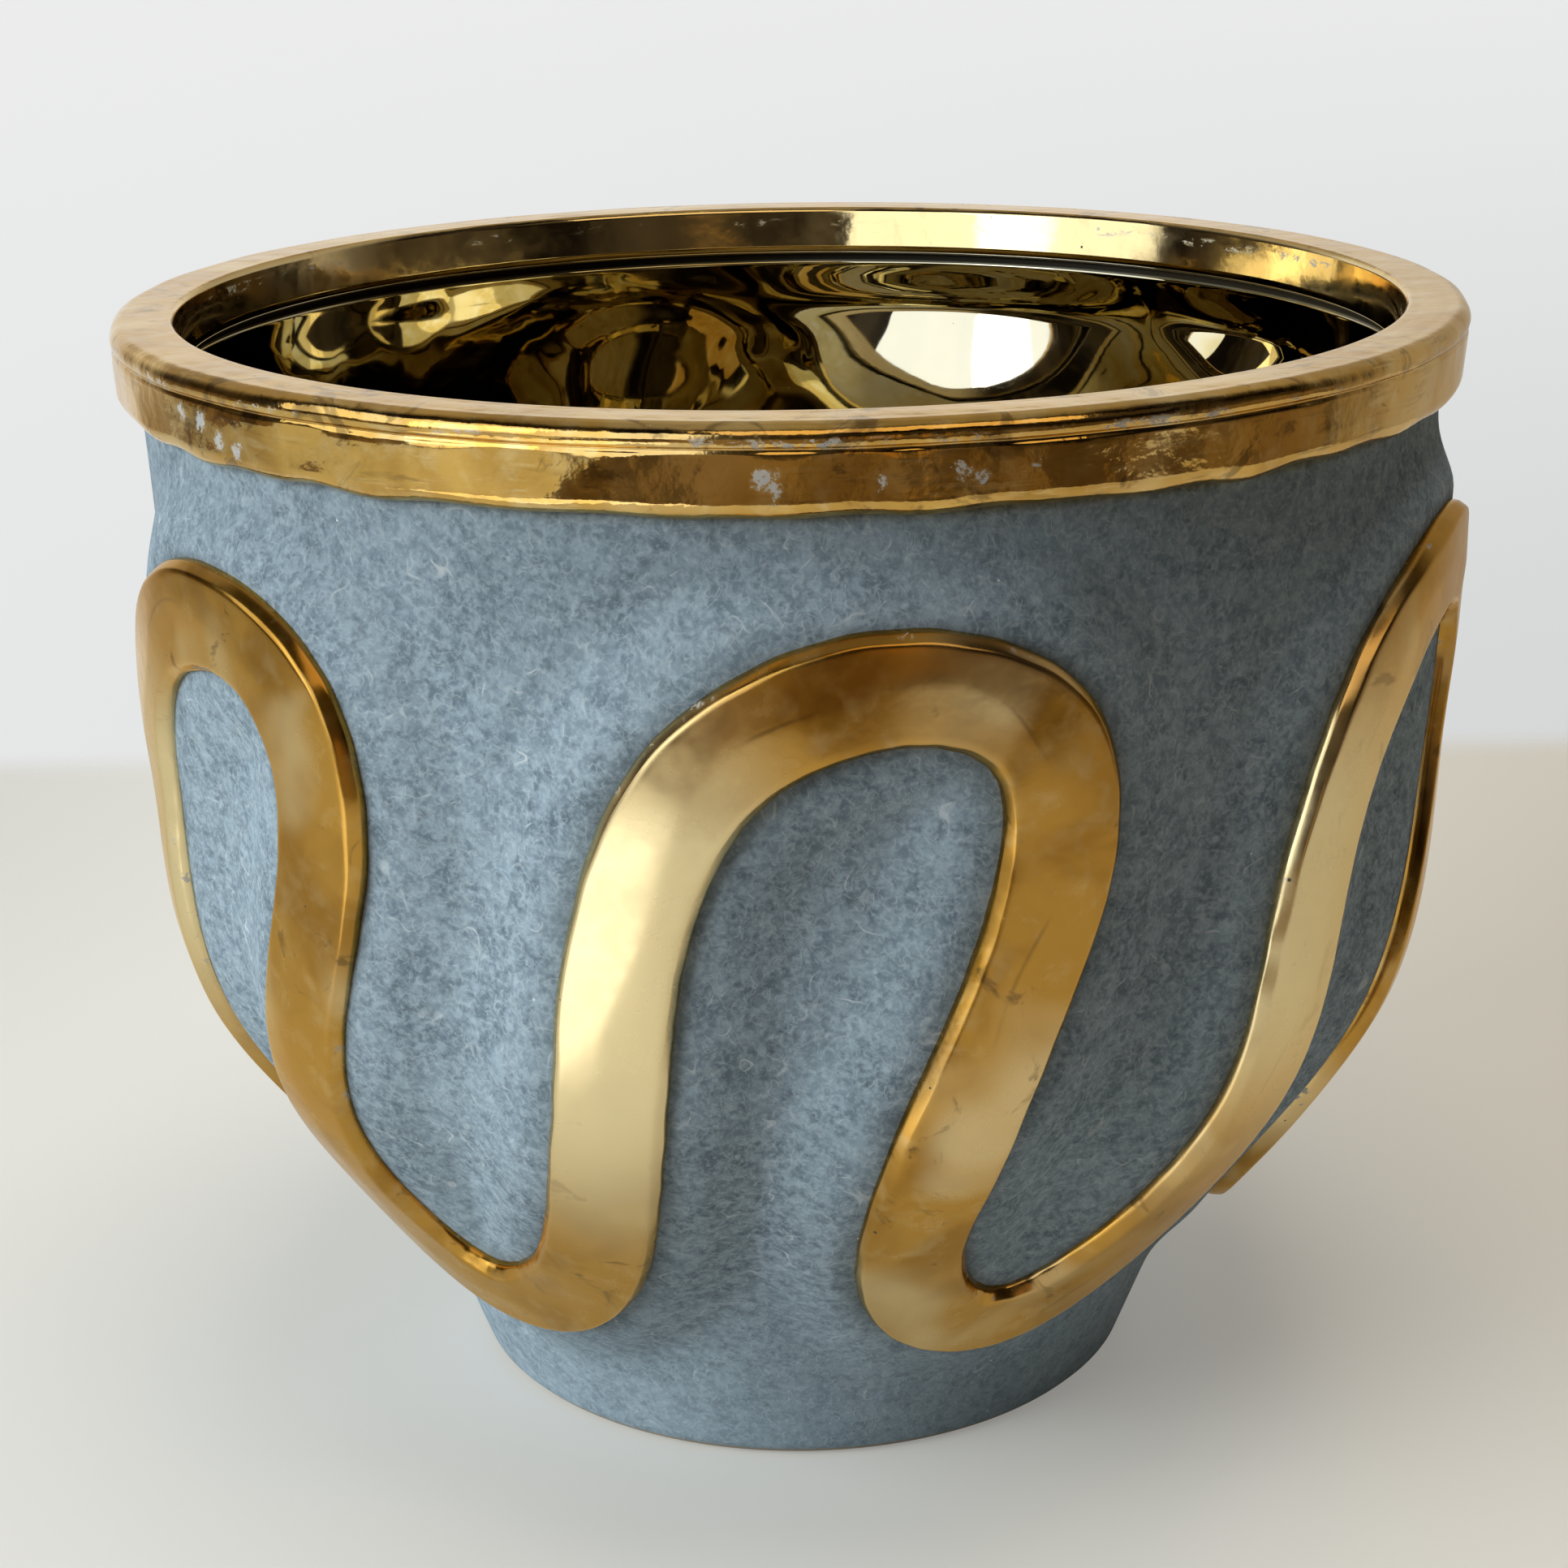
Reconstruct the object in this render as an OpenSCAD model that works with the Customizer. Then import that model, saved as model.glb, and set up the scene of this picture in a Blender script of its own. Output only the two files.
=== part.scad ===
// Ceramic plant pot: a matte wall on a foot ring, a thick rim collar, a floor, a glazed lining
// and a raised strip that runs round the wall in leaning waves.
// Millimetres, +Z up. The origin is at the middle of the foot, on the table. The front faces -Y.

/* [Wall] */
// Height of the whole pot, from the table to the top of the rim
pot_h = 176; // [160:1:210]
// Radius of the foot where it stands on the table
foot_r = 55.2; // [48:0.2:62]
// Height of the flare above the foot
flare_z = 25; // [20:1:34]
// Radius of the wall at the flare
flare_r = 65; // [62:0.5:70]
// Height of the shoulder, where the flare turns upright
shoulder_z = 72; // [62:1:84]
// Radius of the wall at the shoulder
shoulder_r = 93.6; // [86:0.2:97]
// Height of the upright belly
belly_z = 110; // [100:1:124]
// Radius of the wall at the belly
belly_r = 98.4; // [96:0.2:102]
// Thickness of the wall
wall_t = 4.2; // [3.6:0.2:6.4]

/* [Foot and floor] */
// Width of the foot ring
foot_w = 7; // [6:0.5:9]
// Height of the hollow under the floor
foot_hollow = 3; // [2:0.5:6]
// Width of the ledge that carries the floor
ledge_w = 2.8; // [1.6:0.2:3.6]
// Thickness of the floor
floor_t = 6; // [4:0.5:9]
// Height of the sloping corner between the floor and the wall
corner_h = 6; // [3:0.5:9]

/* [Rim] */
// Outer radius of the rim collar
rim_r = 105; // [102:0.5:112]
// Width of the rim's top face, from the mouth to the outside
rim_w = 10; // [8.5:0.5:13]
// Height of the rim's outer face
rim_h = 12.6; // [10:0.2:18]
// How far the rim stands out over the wall's neck
rim_overhang = 3.8; // [2.6:0.2:5]
// Height of the tenon on the wall that the rim sits over
tenon_h = 4.6; // [3:0.2:7]
// Step from the neck in to the tenon
tenon_step = 1.8; // [1:0.2:2.6]
// Rounding of the rim's upper outer edge
rim_round = 3.2; // [1:0.2:4]
// Rounding of the rim's lower outer edge
lip_round = 3; // [1:0.2:4]
// Rounding of the rim's edge round the mouth
mouth_round = 2; // [0.8:0.2:3]

/* [Lining] */
// Thickness of the glaze coat inside
lining_t = 0.6; // [0.4:0.1:1.5]

/* [Raised strip] */
// Number of waves round the pot, with one strip for each
waves = 6; // [5:1:8]
// Width of the strip
strip_w = 16; // [10:0.5:20]
// Thickness of the strip
strip_t = 2.4; // [1.6:0.1:4]
// Width of the bevel along the strip's edges
bevel_w = 1.4; // [0.6:0.1:3]
// Height of the strip's upright edge below the bevel
edge_h = 1.4; // [0.6:0.1:1.5]
// Gap from the rim down to the top of a wave
crest_gap = 14.4; // [8:0.2:30]
// Gap from the table up to the bottom of a wave
trough_gap = 26; // [22:0.5:40]
// Angle by which a wave's top leans one way and its bottom the other
lean = 8; // [0:0.5:12]
// Angle by which the waves bulge at their tops and bottoms
fullness = 6.5; // [5:0.1:8]
// Height of the soft swelling of the wall under the strip
swell = 1.8; // [0.4:0.1:3]
// Margin of the swelling on each side of the strip
swell_margin = 1.5; // [0.5:0.1:3]
// Width over which the swelling dies away
swell_fall = 14; // [10:0.5:20]

/* [Fits] */
// Clearance in the joints between the pieces
joint_gap = 0.2; // [0.1:0.05:0.3]
// Clearance under the strips, and between their ends
strip_gap = 0.3; // [0.2:0.05:0.5]

/* [Hidden] */
STRIPS = [for (i = [1 : waves]) str("ribbon_", i)];

// Counts that set how finely the curves are drawn
$fn = 128;
wall_columns = 108;
wall_rows = 32;
cavity_steps = 26;
arc_steps = 8;
strip_steps = 40;
centreline_steps = 80;

// How far a cut runs past the face that it opens
cut_over = 1;
// Step of the differences that give slopes along z, in mm, and along the wave, in degrees
slope_step = 0.01;

// Rim and neck
neck_z = pot_h - rim_h;
neck_r = rim_r - rim_overhang;
mouth_r = rim_r - rim_w;
tenon_r = neck_r - tenon_step;
tenon_top = neck_z + tenon_h;
head_z = tenon_top + joint_gap;

// Foot and floor
hollow_r = foot_r - foot_w;
seat_r = hollow_r + ledge_w;
floor_top = foot_hollow + floor_t;

// Waves of the strip
crest_z = neck_z - crest_gap - strip_w / 2;
trough_z = trough_gap + strip_w / 2;
wave_mid = (crest_z + trough_z) / 2;
wave_amp = (crest_z - trough_z) / 2;
seat_half = strip_w / 2 + swell_margin;

// Colours
clay_blue = [0.47, 0.55, 0.61];
bare_clay = [0.80, 0.74, 0.66];
bright_gold = [0.83, 0.66, 0.30];
deep_gold = [0.72, 0.53, 0.22];

// The wall's outer radius is a smooth curve through these heights and radii
STATIONS = [
    [0, foot_r],
    [flare_z, flare_r],
    [shoulder_z, shoulder_r],
    [belly_z, belly_r],
    [neck_z, neck_r]
];
LAST = len(STATIONS) - 1;

function rise(i) = STATIONS[i + 1][0] - STATIONS[i][0];
function chord(i) = (STATIONS[i + 1][1] - STATIONS[i][1]) / rise(i);
function station_slope(i) =
    i == 0 ? chord(0)
    : i == LAST ? chord(LAST - 1)
    : (chord(i - 1) * rise(i) + chord(i) * rise(i - 1)) / (rise(i - 1) + rise(i));
function span_of(z) = max([for (i = [0 : LAST - 1]) z >= STATIONS[i][0] ? i : 0]);

function wall_r(z) =
    let (i = span_of(z), h = rise(i), t = (z - STATIONS[i][0]) / h)
    STATIONS[i][1] * (2 * t ^ 3 - 3 * t ^ 2 + 1)
    + STATIONS[i + 1][1] * (3 * t ^ 2 - 2 * t ^ 3)
    + station_slope(i) * h * (t ^ 3 - 2 * t ^ 2 + t)
    + station_slope(i + 1) * h * (t ^ 3 - t ^ 2);
function wall_slope(z) = (wall_r(z + slope_step) - wall_r(z - slope_step)) / (2 * slope_step);
function slant(z) = sqrt(1 + wall_slope(z) ^ 2);

// The wall's inner face keeps the wall's thickness, measured square to the wall
function cavity_r(z) = wall_r(z) - wall_t * slant(z);

// A point h outside the plain wall, at an angle from the front
function wall_point(angle, z, h) =
    let (r = wall_r(z) + h / slant(z))
    [r * sin(angle), -r * cos(angle), z - h * wall_slope(z) / slant(z)];

function smooth(x) =
    let (t = max(0, min(1, x)))
    t ^ 2 * (3 - 2 * t);

// The middle of the strip at t degrees along the waves, 360 to a wave: its angle and its height
function wave_angle(t) = t / waves + fullness * sin(2 * t) + lean * cos(t);
function wave_z(t) = wave_mid + wave_amp * cos(t);
CENTRELINE = [
    for (i = [0 : waves * centreline_steps - 1])
        let (t = 360 * i / centreline_steps)
        wall_point(wave_angle(t), wave_z(t), 0)
];

// Height of the swelling: full under the strip, none at the foot and the neck
function swell_at(z) = swell * smooth(z / trough_gap) * smooth((neck_z - z) / crest_gap);
function swell_share(p) =
    let (d = min([for (c = CENTRELINE) norm(p - c)]))
    1 - smooth((d - seat_half) / swell_fall);

// Speed along the strip's middle, in mm for each degree of t: round the pot and up the wall
function wave_speed(t) =
    let (
        z = wave_z(t),
        turn = (wave_angle(t + slope_step) - wave_angle(t - slope_step)) / (2 * slope_step),
        climb = (wave_z(t + slope_step) - wave_z(t - slope_step)) / (2 * slope_step)
    )
    [turn * wall_r(z) * PI / 180, climb * slant(z)];

// A point beside the strip's middle by u, and h above the plain wall with its swelling
function strip_point(t, u, h) =
    let (
        z = wave_z(t),
        v = wave_speed(t),
        across = [-v[1], v[0]] * u / norm(v),
        edge_z = z + across[1] / slant(z),
        edge_angle = wave_angle(t) + across[0] / wall_r(z) * 180 / PI
    )
    wall_point(edge_angle, edge_z, swell_at(edge_z) + h);

// The strip's cross-section: across, and above its seat
half_w = strip_w / 2;
SECTION = [
    [-half_w, 0],
    [0, 0],
    [half_w, 0],
    [half_w, edge_h],
    [half_w - bevel_w, strip_t],
    [0, strip_t],
    [bevel_w - half_w, strip_t],
    [-half_w, edge_h]
];

function arc(centre, r, from, to) = [
    for (i = [0 : arc_steps])
        let (a = from + (to - from) * i / arc_steps)
        centre + r * [cos(a), sin(a)]
];

// Two rings of n points that lie one after the other are joined by pairs of triangles
function ring_faces(rings, n) = [
    for (j = [0 : rings - 2], i = [0 : n - 1])
        let (a = j * n + i, b = j * n + (i + 1) % n)
        each [[a, a + n, b], [b, a + n, b + n]]
];
function near_cap(n) = [for (i = [0 : n - 1]) i];
function far_cap(rings, n) = [for (i = [n - 1 : -1 : 0]) (rings - 1) * n + i];

// The heights at which the wall's inner face is drawn, from the floor's corner to the neck
CAVITY_Z = [
    for (i = [0 : cavity_steps])
        let (low = floor_top + corner_h)
        low + (neck_z - low) * i / cavity_steps
];

// Outside of the wall, as a full body with its swellings
module wall_body() {
    points = [
        for (j = [0 : wall_rows], i = [0 : wall_columns - 1])
            let (z = neck_z * j / wall_rows, angle = 360 * i / wall_columns)
            wall_point(angle, z, swell_at(z) * swell_share(wall_point(angle, z, 0)))
    ];
    faces = concat(
        ring_faces(wall_rows + 1, wall_columns),
        [near_cap(wall_columns), far_cap(wall_rows + 1, wall_columns)]
    );
    polyhedron(points, faces);
}

// Everything inside the wall: the hollow under the foot, the floor's seat and the cavity
module wall_hollow() {
    rotate_extrude()
        polygon(concat(
            [
                [0, -cut_over],
                [hollow_r, -cut_over],
                [hollow_r, foot_hollow],
                [seat_r, foot_hollow],
                [seat_r, floor_top]
            ],
            [for (z = CAVITY_Z) [cavity_r(z), z]],
            [[cavity_r(neck_z), tenon_top + cut_over], [0, tenon_top + cut_over]]
        ));
}

module wall() {
    color(clay_blue)
        difference() {
            union() {
                wall_body();
                translate([0, 0, neck_z - tenon_h])
                    cylinder(r = tenon_r, h = 2 * tenon_h);
            }
            wall_hollow();
        }
}

module floor_disc() {
    color(bare_clay)
        translate([0, 0, foot_hollow])
            cylinder(r = seat_r - joint_gap, h = floor_t);
}

module rim_collar() {
    skirt_r = tenon_r + joint_gap;
    color(bright_gold)
        rotate_extrude()
            polygon(concat(
                [[mouth_r, head_z], [skirt_r, head_z], [skirt_r, neck_z]],
                arc([rim_r - lip_round, neck_z + lip_round], lip_round, -90, 0),
                arc([rim_r - rim_round, pot_h - rim_round], rim_round, 0, 90),
                arc([mouth_r + mouth_round, pot_h - mouth_round], mouth_round, 90, 180)
            ));
}

// The coat lies on the floor and stays a joint's clearance off the wall
module gold_lining() {
    back = [for (z = CAVITY_Z) [cavity_r(z) - joint_gap * slant(z), z]];
    face = [for (z = CAVITY_Z) [cavity_r(z) - (joint_gap + lining_t) * slant(z), z]];
    back_top = [back[cavity_steps][0], tenon_top];
    face_top = [face[cavity_steps][0], tenon_top];
    color(deep_gold)
        rotate_extrude()
            polygon(concat(
                [[0, floor_top], [seat_r - joint_gap, floor_top]],
                back,
                [back_top, face_top],
                [for (i = [cavity_steps : -1 : 0]) face[i]],
                [[seat_r - joint_gap - lining_t, floor_top + lining_t], [0, floor_top + lining_t]]
            ));
}

// One wave of the strip, from one trough to the next
module ribbon(i) {
    first = 360 * (i - 1) - 180;
    trim = strip_gap / 2 / norm(wave_speed(first));
    rings = strip_steps + 1;
    n = len(SECTION);
    points = [
        for (j = [0 : strip_steps], s = SECTION)
            let (t = first + trim + (360 - 2 * trim) * j / strip_steps)
            strip_point(t, s[0], strip_gap + s[1])
    ];
    color(bright_gold)
        polyhedron(points, concat(ring_faces(rings, n), [near_cap(n), far_cap(rings, n)]));
}

wall();
floor_disc();
rim_collar();
gold_lining();
for (i = [1 : waves]) ribbon(i);
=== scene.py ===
import math

import bpy
import numpy as np
from mathutils import Matrix, Vector
from mathutils.kdtree import KDTree


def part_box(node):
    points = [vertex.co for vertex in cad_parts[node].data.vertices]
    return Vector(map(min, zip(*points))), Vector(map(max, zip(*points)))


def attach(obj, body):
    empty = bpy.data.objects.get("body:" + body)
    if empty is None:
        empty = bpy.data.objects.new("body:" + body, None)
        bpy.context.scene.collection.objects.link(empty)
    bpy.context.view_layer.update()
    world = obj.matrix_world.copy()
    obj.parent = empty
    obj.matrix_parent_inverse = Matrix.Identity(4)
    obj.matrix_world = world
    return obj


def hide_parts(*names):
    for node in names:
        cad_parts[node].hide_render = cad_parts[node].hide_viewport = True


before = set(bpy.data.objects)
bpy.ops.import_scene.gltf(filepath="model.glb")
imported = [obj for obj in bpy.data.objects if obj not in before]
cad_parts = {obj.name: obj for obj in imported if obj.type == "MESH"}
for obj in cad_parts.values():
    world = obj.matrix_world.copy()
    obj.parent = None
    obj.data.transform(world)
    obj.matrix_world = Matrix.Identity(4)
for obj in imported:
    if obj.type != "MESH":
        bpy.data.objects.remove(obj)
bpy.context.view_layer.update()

# Sizes in metres. The pot stands on z = 0, its axis is Z and its front faces -Y.

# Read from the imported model
rim_low, rim_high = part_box("rim_collar")
RIM_R = rim_high.x
POT_H = rim_high.z
NECK_Z = rim_low.z
FLOOR_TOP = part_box("floor_disc")[1].z
LEDGE_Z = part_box("floor_disc")[0].z

# Wall
FOOT_R = 0.0552
FLARE = (0.025, 0.065)
SHOULDER = (0.072, 0.0936)
BELLY = (0.110, 0.0984)
NECK_R = RIM_R - 0.0038
WALL_T = 0.0042
HOLLOW_R = FOOT_R - 0.007
SEAT_R = HOLLOW_R + 0.0028
CORNER_H = 0.006
FOOT_ROUND = 0.0012
LUMP_DEPTH = 0.00022
LUMP_FADE = 0.02
# How far from the strip's edge the painted shade beside it reaches
STRIP_SHADE_REACH = 0.0022

# Rim
TENON_TOP = NECK_Z + 0.0046
TENON_R = NECK_R - 0.0018
HEAD_GAP = 0.0001
SKIRT_GAP = 0.0002
ROLL_R = 0.0021
CROWN_H = 0.0001
FACE_INSET = 0.0002
FACE_LEAN = 0.0003
LIP_ROUND = 0.0026
LIP_TURN = (-90, -6)
ROLL_TURN = (-30, 90)
SAG_DEPTH = 0.00045
SAG_H = 0.004
MOUTH_R = RIM_R - 0.0106
MOUTH_ROUND = 0.0010
MOUTH_FLARE = 0.0009
MOUTH_LAND = 0.0005
MOUTH_BLEND = 0.0008

# Crease under the rim's roll: its place and size, its filling, and how far its two lips lie in and up
CREASE_DROP = 0.0035
CREASE_DEPTH = 0.0006
CREASE_H = 0.0006
CREASE_REACH = 0.002
CREASE_FILL = 0.5
CREASE_LOW = (0.0001, 0.0003)
CREASE_HIGH = (0.0004, 0.0004)

# Lining, with the groove under the rim and the step from there in to the mouth
LINING_T = 0.0006
LINING_GAP = 0.0002
LINING_LEAN = 0.0010
LEAN_FALL = 0.020
UNEVEN_DEPTH = 0.0002
FOLLOW_SHARE = 0.085
SOFT_H = 0.010
GROOVE_Z = TENON_TOP - 0.0012
GROOVE_DEPTH = 0.0009
GROOVE_HALF = 0.0012
GROOVE_MARGIN = 0.002
GROOVE_START = 0.0016
STEP_GAP = 0.0002
STEP_H = 0.0008
STEP_MID = 0.0006
STEP_TOP = 0.0010
HUB_R = 0.0015
FLOOR_EDGE = 0.004
FLOOR_INNER = 0.007
CORNER_OUT = 0.001
CORNER_UP = 0.0004

# Hollows inside the pot: angle from the front in degrees, height, half width, half height, depth
HOLLOWS = (
    (159, 0.164, 0.054, 0.034, 0.0037),
    (122, 0.168, 0.030, 0.024, 0.0045),
    (200, 0.132, 0.050, 0.034, 0.0040),
)

# How pale the coat is in the first hollow, and how fast it gets so from the hollow's edge
PALE_SHARE = 0.75
PALE_GROWTH = 3

# Raised strip
WAVES = 6
STRIP_W = 0.016
STRIP_T = 0.0026
EDGE_H = 0.0010
BEVEL_W = 0.0017
BEVEL_MEAN = 0.72
BEVEL_STRAY = 0.22
SHELF_ROUND = 0.0006
BRINK_R = 0.0005
BRINK_FROM = 0.75
BRINK_OVER = 0.6
STRIP_ROOT = 0.0012
ROOT_TOP = 0.0002
ROOT_FLARE = 0.0001
ROOT_IN = 0.002
FACE_LUMPS = 0.00015
WIDTH_STRAY = 0.035
WIDTH_RAGGED = 0.012
RIDGE_H = 0.0004
RIDGE_WANDER = 0.0030
RIDGE_SOFT = 0.0008
CREST_GAP = 0.0144
TROUGH_GAP = 0.026
LEAN = math.radians(8.0)
FULLNESS = math.radians(6.5)
STRIP_WANDER = 0.0010
SWELL = 0.0034
SWELL_MARGIN = 0.0015
SWELL_FALL = 0.014
CREST_Z = NECK_Z - CREST_GAP - STRIP_W / 2
TROUGH_Z = TROUGH_GAP + STRIP_W / 2
WAVE_MID = (CREST_Z + TROUGH_Z) / 2
WAVE_AMP = (CREST_Z - TROUGH_Z) / 2

# Vertex value on the ridge, to which the distance in cm is added. Surfaces without a ridge have 0
RIDGE_MARK = 3.0
CENTIMETRES = 100

# Where along a wave the strip's lustre is thin, in radians, and how thin and ragged it is there
RISING_LEG = 1.58 * math.pi
THIN_REACH = 0.75
THIN_FULL = 1.3
THIN_RAGGED = 0.22
THIN_MOST = 0.9

# How finely the meshes are drawn. The coat's hidden back has fewer rows, apart from its top
COLUMNS = 600
WALL_ROWS = 123
INNER_ROWS = 24
FOOT_STEPS = 4
LINING_ROWS = 96
GROOVE_ROWS = 12
CORNER_STEPS = 8
FLOOR_RINGS = 5
BACK_STEP = 5
BACK_FINE = 0.014
RIM_FACE_ROWS = 8
RIM_TOP_ROWS = 9
MOUTH_ROWS = 8
ROLL_STEPS = 11
STRIP_STEPS = 250
FACE_STEPS = 10
SHELF_STEPS = 4
BRINK_STEPS = 3
CENTRE_STEPS = 720
ARC_STEPS = 7
SCREEN_COLUMNS = 48
SCREEN_ROWS = 24
TINY = 1e-5
WAVE_STEP = 1e-4

# About how high the sum of a ripple's waves goes, against the root of their number
RIPPLE_PEAK = 1.6

ANGLES = np.arange(COLUMNS) * 2 * math.pi / COLUMNS
STATIONS = np.array([(0.0, FOOT_R), FLARE, SHOULDER, BELLY, (NECK_Z, NECK_R)])


def station_slopes():
    rise = np.diff(STATIONS[:, 0])
    chord = np.diff(STATIONS[:, 1]) / rise
    inner = (chord[:-1] * rise[1:] + chord[1:] * rise[:-1]) / (rise[:-1] + rise[1:])
    return np.concatenate([chord[:1], inner, chord[-1:]])


SLOPES = station_slopes()


def wall_radius(z):
    """Outer radius of the plain wall, a smooth curve through the stations."""
    z = np.asarray(z, float)
    i = np.clip(np.searchsorted(STATIONS[:, 0], z, side="right") - 1, 0, len(STATIONS) - 2)
    h = STATIONS[i + 1, 0] - STATIONS[i, 0]
    t = (z - STATIONS[i, 0]) / h
    return (
        STATIONS[i, 1] * (2 * t**3 - 3 * t**2 + 1)
        + STATIONS[i + 1, 1] * (3 * t**2 - 2 * t**3)
        + SLOPES[i] * h * (t**3 - 2 * t**2 + t)
        + SLOPES[i + 1] * h * (t**3 - t**2)
    )


def wall_slope(z):
    return (wall_radius(z + TINY) - wall_radius(z - TINY)) / (2 * TINY)


def slant(z):
    return np.sqrt(1 + wall_slope(z) ** 2)


def polar(angle, r, z):
    """Points at an angle from the front, positive towards +X."""
    angle, r, z = np.broadcast_arrays(angle, r, z)
    return np.stack([r * np.sin(angle), -r * np.cos(angle), z], -1)


def wall_point(angle, z, h):
    """Points h outside the plain wall, measured square to it."""
    return polar(angle, wall_radius(z) + h / slant(z), z - h * wall_slope(z) / slant(z))


def smooth(x):
    t = np.clip(x, 0, 1)
    return t * t * (3 - 2 * t)


def curve(t, start, corner, end):
    """Places along a curve from start to end that bends towards the corner."""
    return (1 - t) ** 2 * start + 2 * t * (1 - t) * corner + t**2 * end


def arc(centre_r, centre_z, radius, start, end, steps=ARC_STEPS):
    a = np.radians(np.linspace(start, end, steps + 1))
    return np.stack([centre_r + radius * np.cos(a), centre_z + radius * np.sin(a)], 1)


def ripple(angle, height=0.0, *, seed, waves_round, wave_up=1.0, terms=7):
    """Soft hand-made unevenness, about from -1 to 1, that closes on itself round the pot."""
    rng = np.random.default_rng(seed)
    total = 0
    for _ in range(terms):
        turns = rng.integers(1, waves_round + 1)
        up = rng.uniform(-1, 1) * 2 * math.pi / wave_up
        total = total + np.sin(turns * angle + up * height + rng.uniform(0, 2 * math.pi))
    return total / terms**0.5 / RIPPLE_PEAK


def wave_angle(t):
    """Angle of the strip's middle at t radians along the waves."""
    return t / WAVES + FULLNESS * np.sin(2 * t) + LEAN * np.cos(t)


def wave_z(t):
    """Height of the strip's middle at t radians along the waves."""
    return WAVE_MID + WAVE_AMP * np.cos(t) + STRIP_WANDER * ripple(t / WAVES, seed=11, waves_round=13)


def swell_at(z):
    """How far the wall swells out under the strip at a height."""
    return SWELL * smooth(z / TROUGH_GAP) * smooth((NECK_Z - z) / CREST_GAP)


def strip_distance(points):
    """How far each point lies from the middle of the strip."""
    t = np.arange(WAVES * CENTRE_STEPS) * 2 * math.pi / CENTRE_STEPS
    line = wall_point(wave_angle(t), wave_z(t), 0)
    tree = KDTree(len(line))
    for i, p in enumerate(line):
        tree.insert(p, i)
    tree.balance()
    flat = points.reshape(-1, 3)
    return np.array([tree.find(p)[2] for p in flat]).reshape(points.shape[:-1])


def swell_share(distance):
    return 1 - smooth((distance - STRIP_W / 2 - SWELL_MARGIN) / SWELL_FALL)


def mesh_object(name, points, faces, material):
    mesh = bpy.data.meshes.new(name)
    mesh.from_pydata(points.reshape(-1, 3).tolist(), [], faces)
    mesh.polygons.foreach_set("use_smooth", [True] * len(mesh.polygons))
    mesh.materials.append(material)
    mesh.update()
    piece = bpy.data.objects.new(name, mesh)
    bpy.context.scene.collection.objects.link(piece)
    return piece


def ring_faces(rings, columns, closed):
    """Quads between rings of points, each ring closed, and the last ring joined to the first if closed."""
    j = np.arange(rings if closed else rings - 1)
    i = np.arange(columns)
    a = (j[:, None] * columns + i).ravel()
    b = (j[:, None] * columns + (i + 1) % columns).ravel()
    c = (((j + 1) % rings)[:, None] * columns + (i + 1) % columns).ravel()
    d = (((j + 1) % rings)[:, None] * columns + i).ravel()
    return np.stack([a, b, c, d], 1).tolist()


def add_value(piece, name, values):
    """A number at each vertex that the materials read."""
    attribute = piece.data.attributes.new(name, "FLOAT", "POINT")
    attribute.data.foreach_set("value", np.asarray(values, np.float32).ravel())


# Strokes and dots in the materials: gaps against curls, the fade at a stroke's ends, and a dot's even core
FIBRE_GAPS = 0.8
FIBRE_FADE = 0.22
DOT_CORE = 0.6


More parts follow.
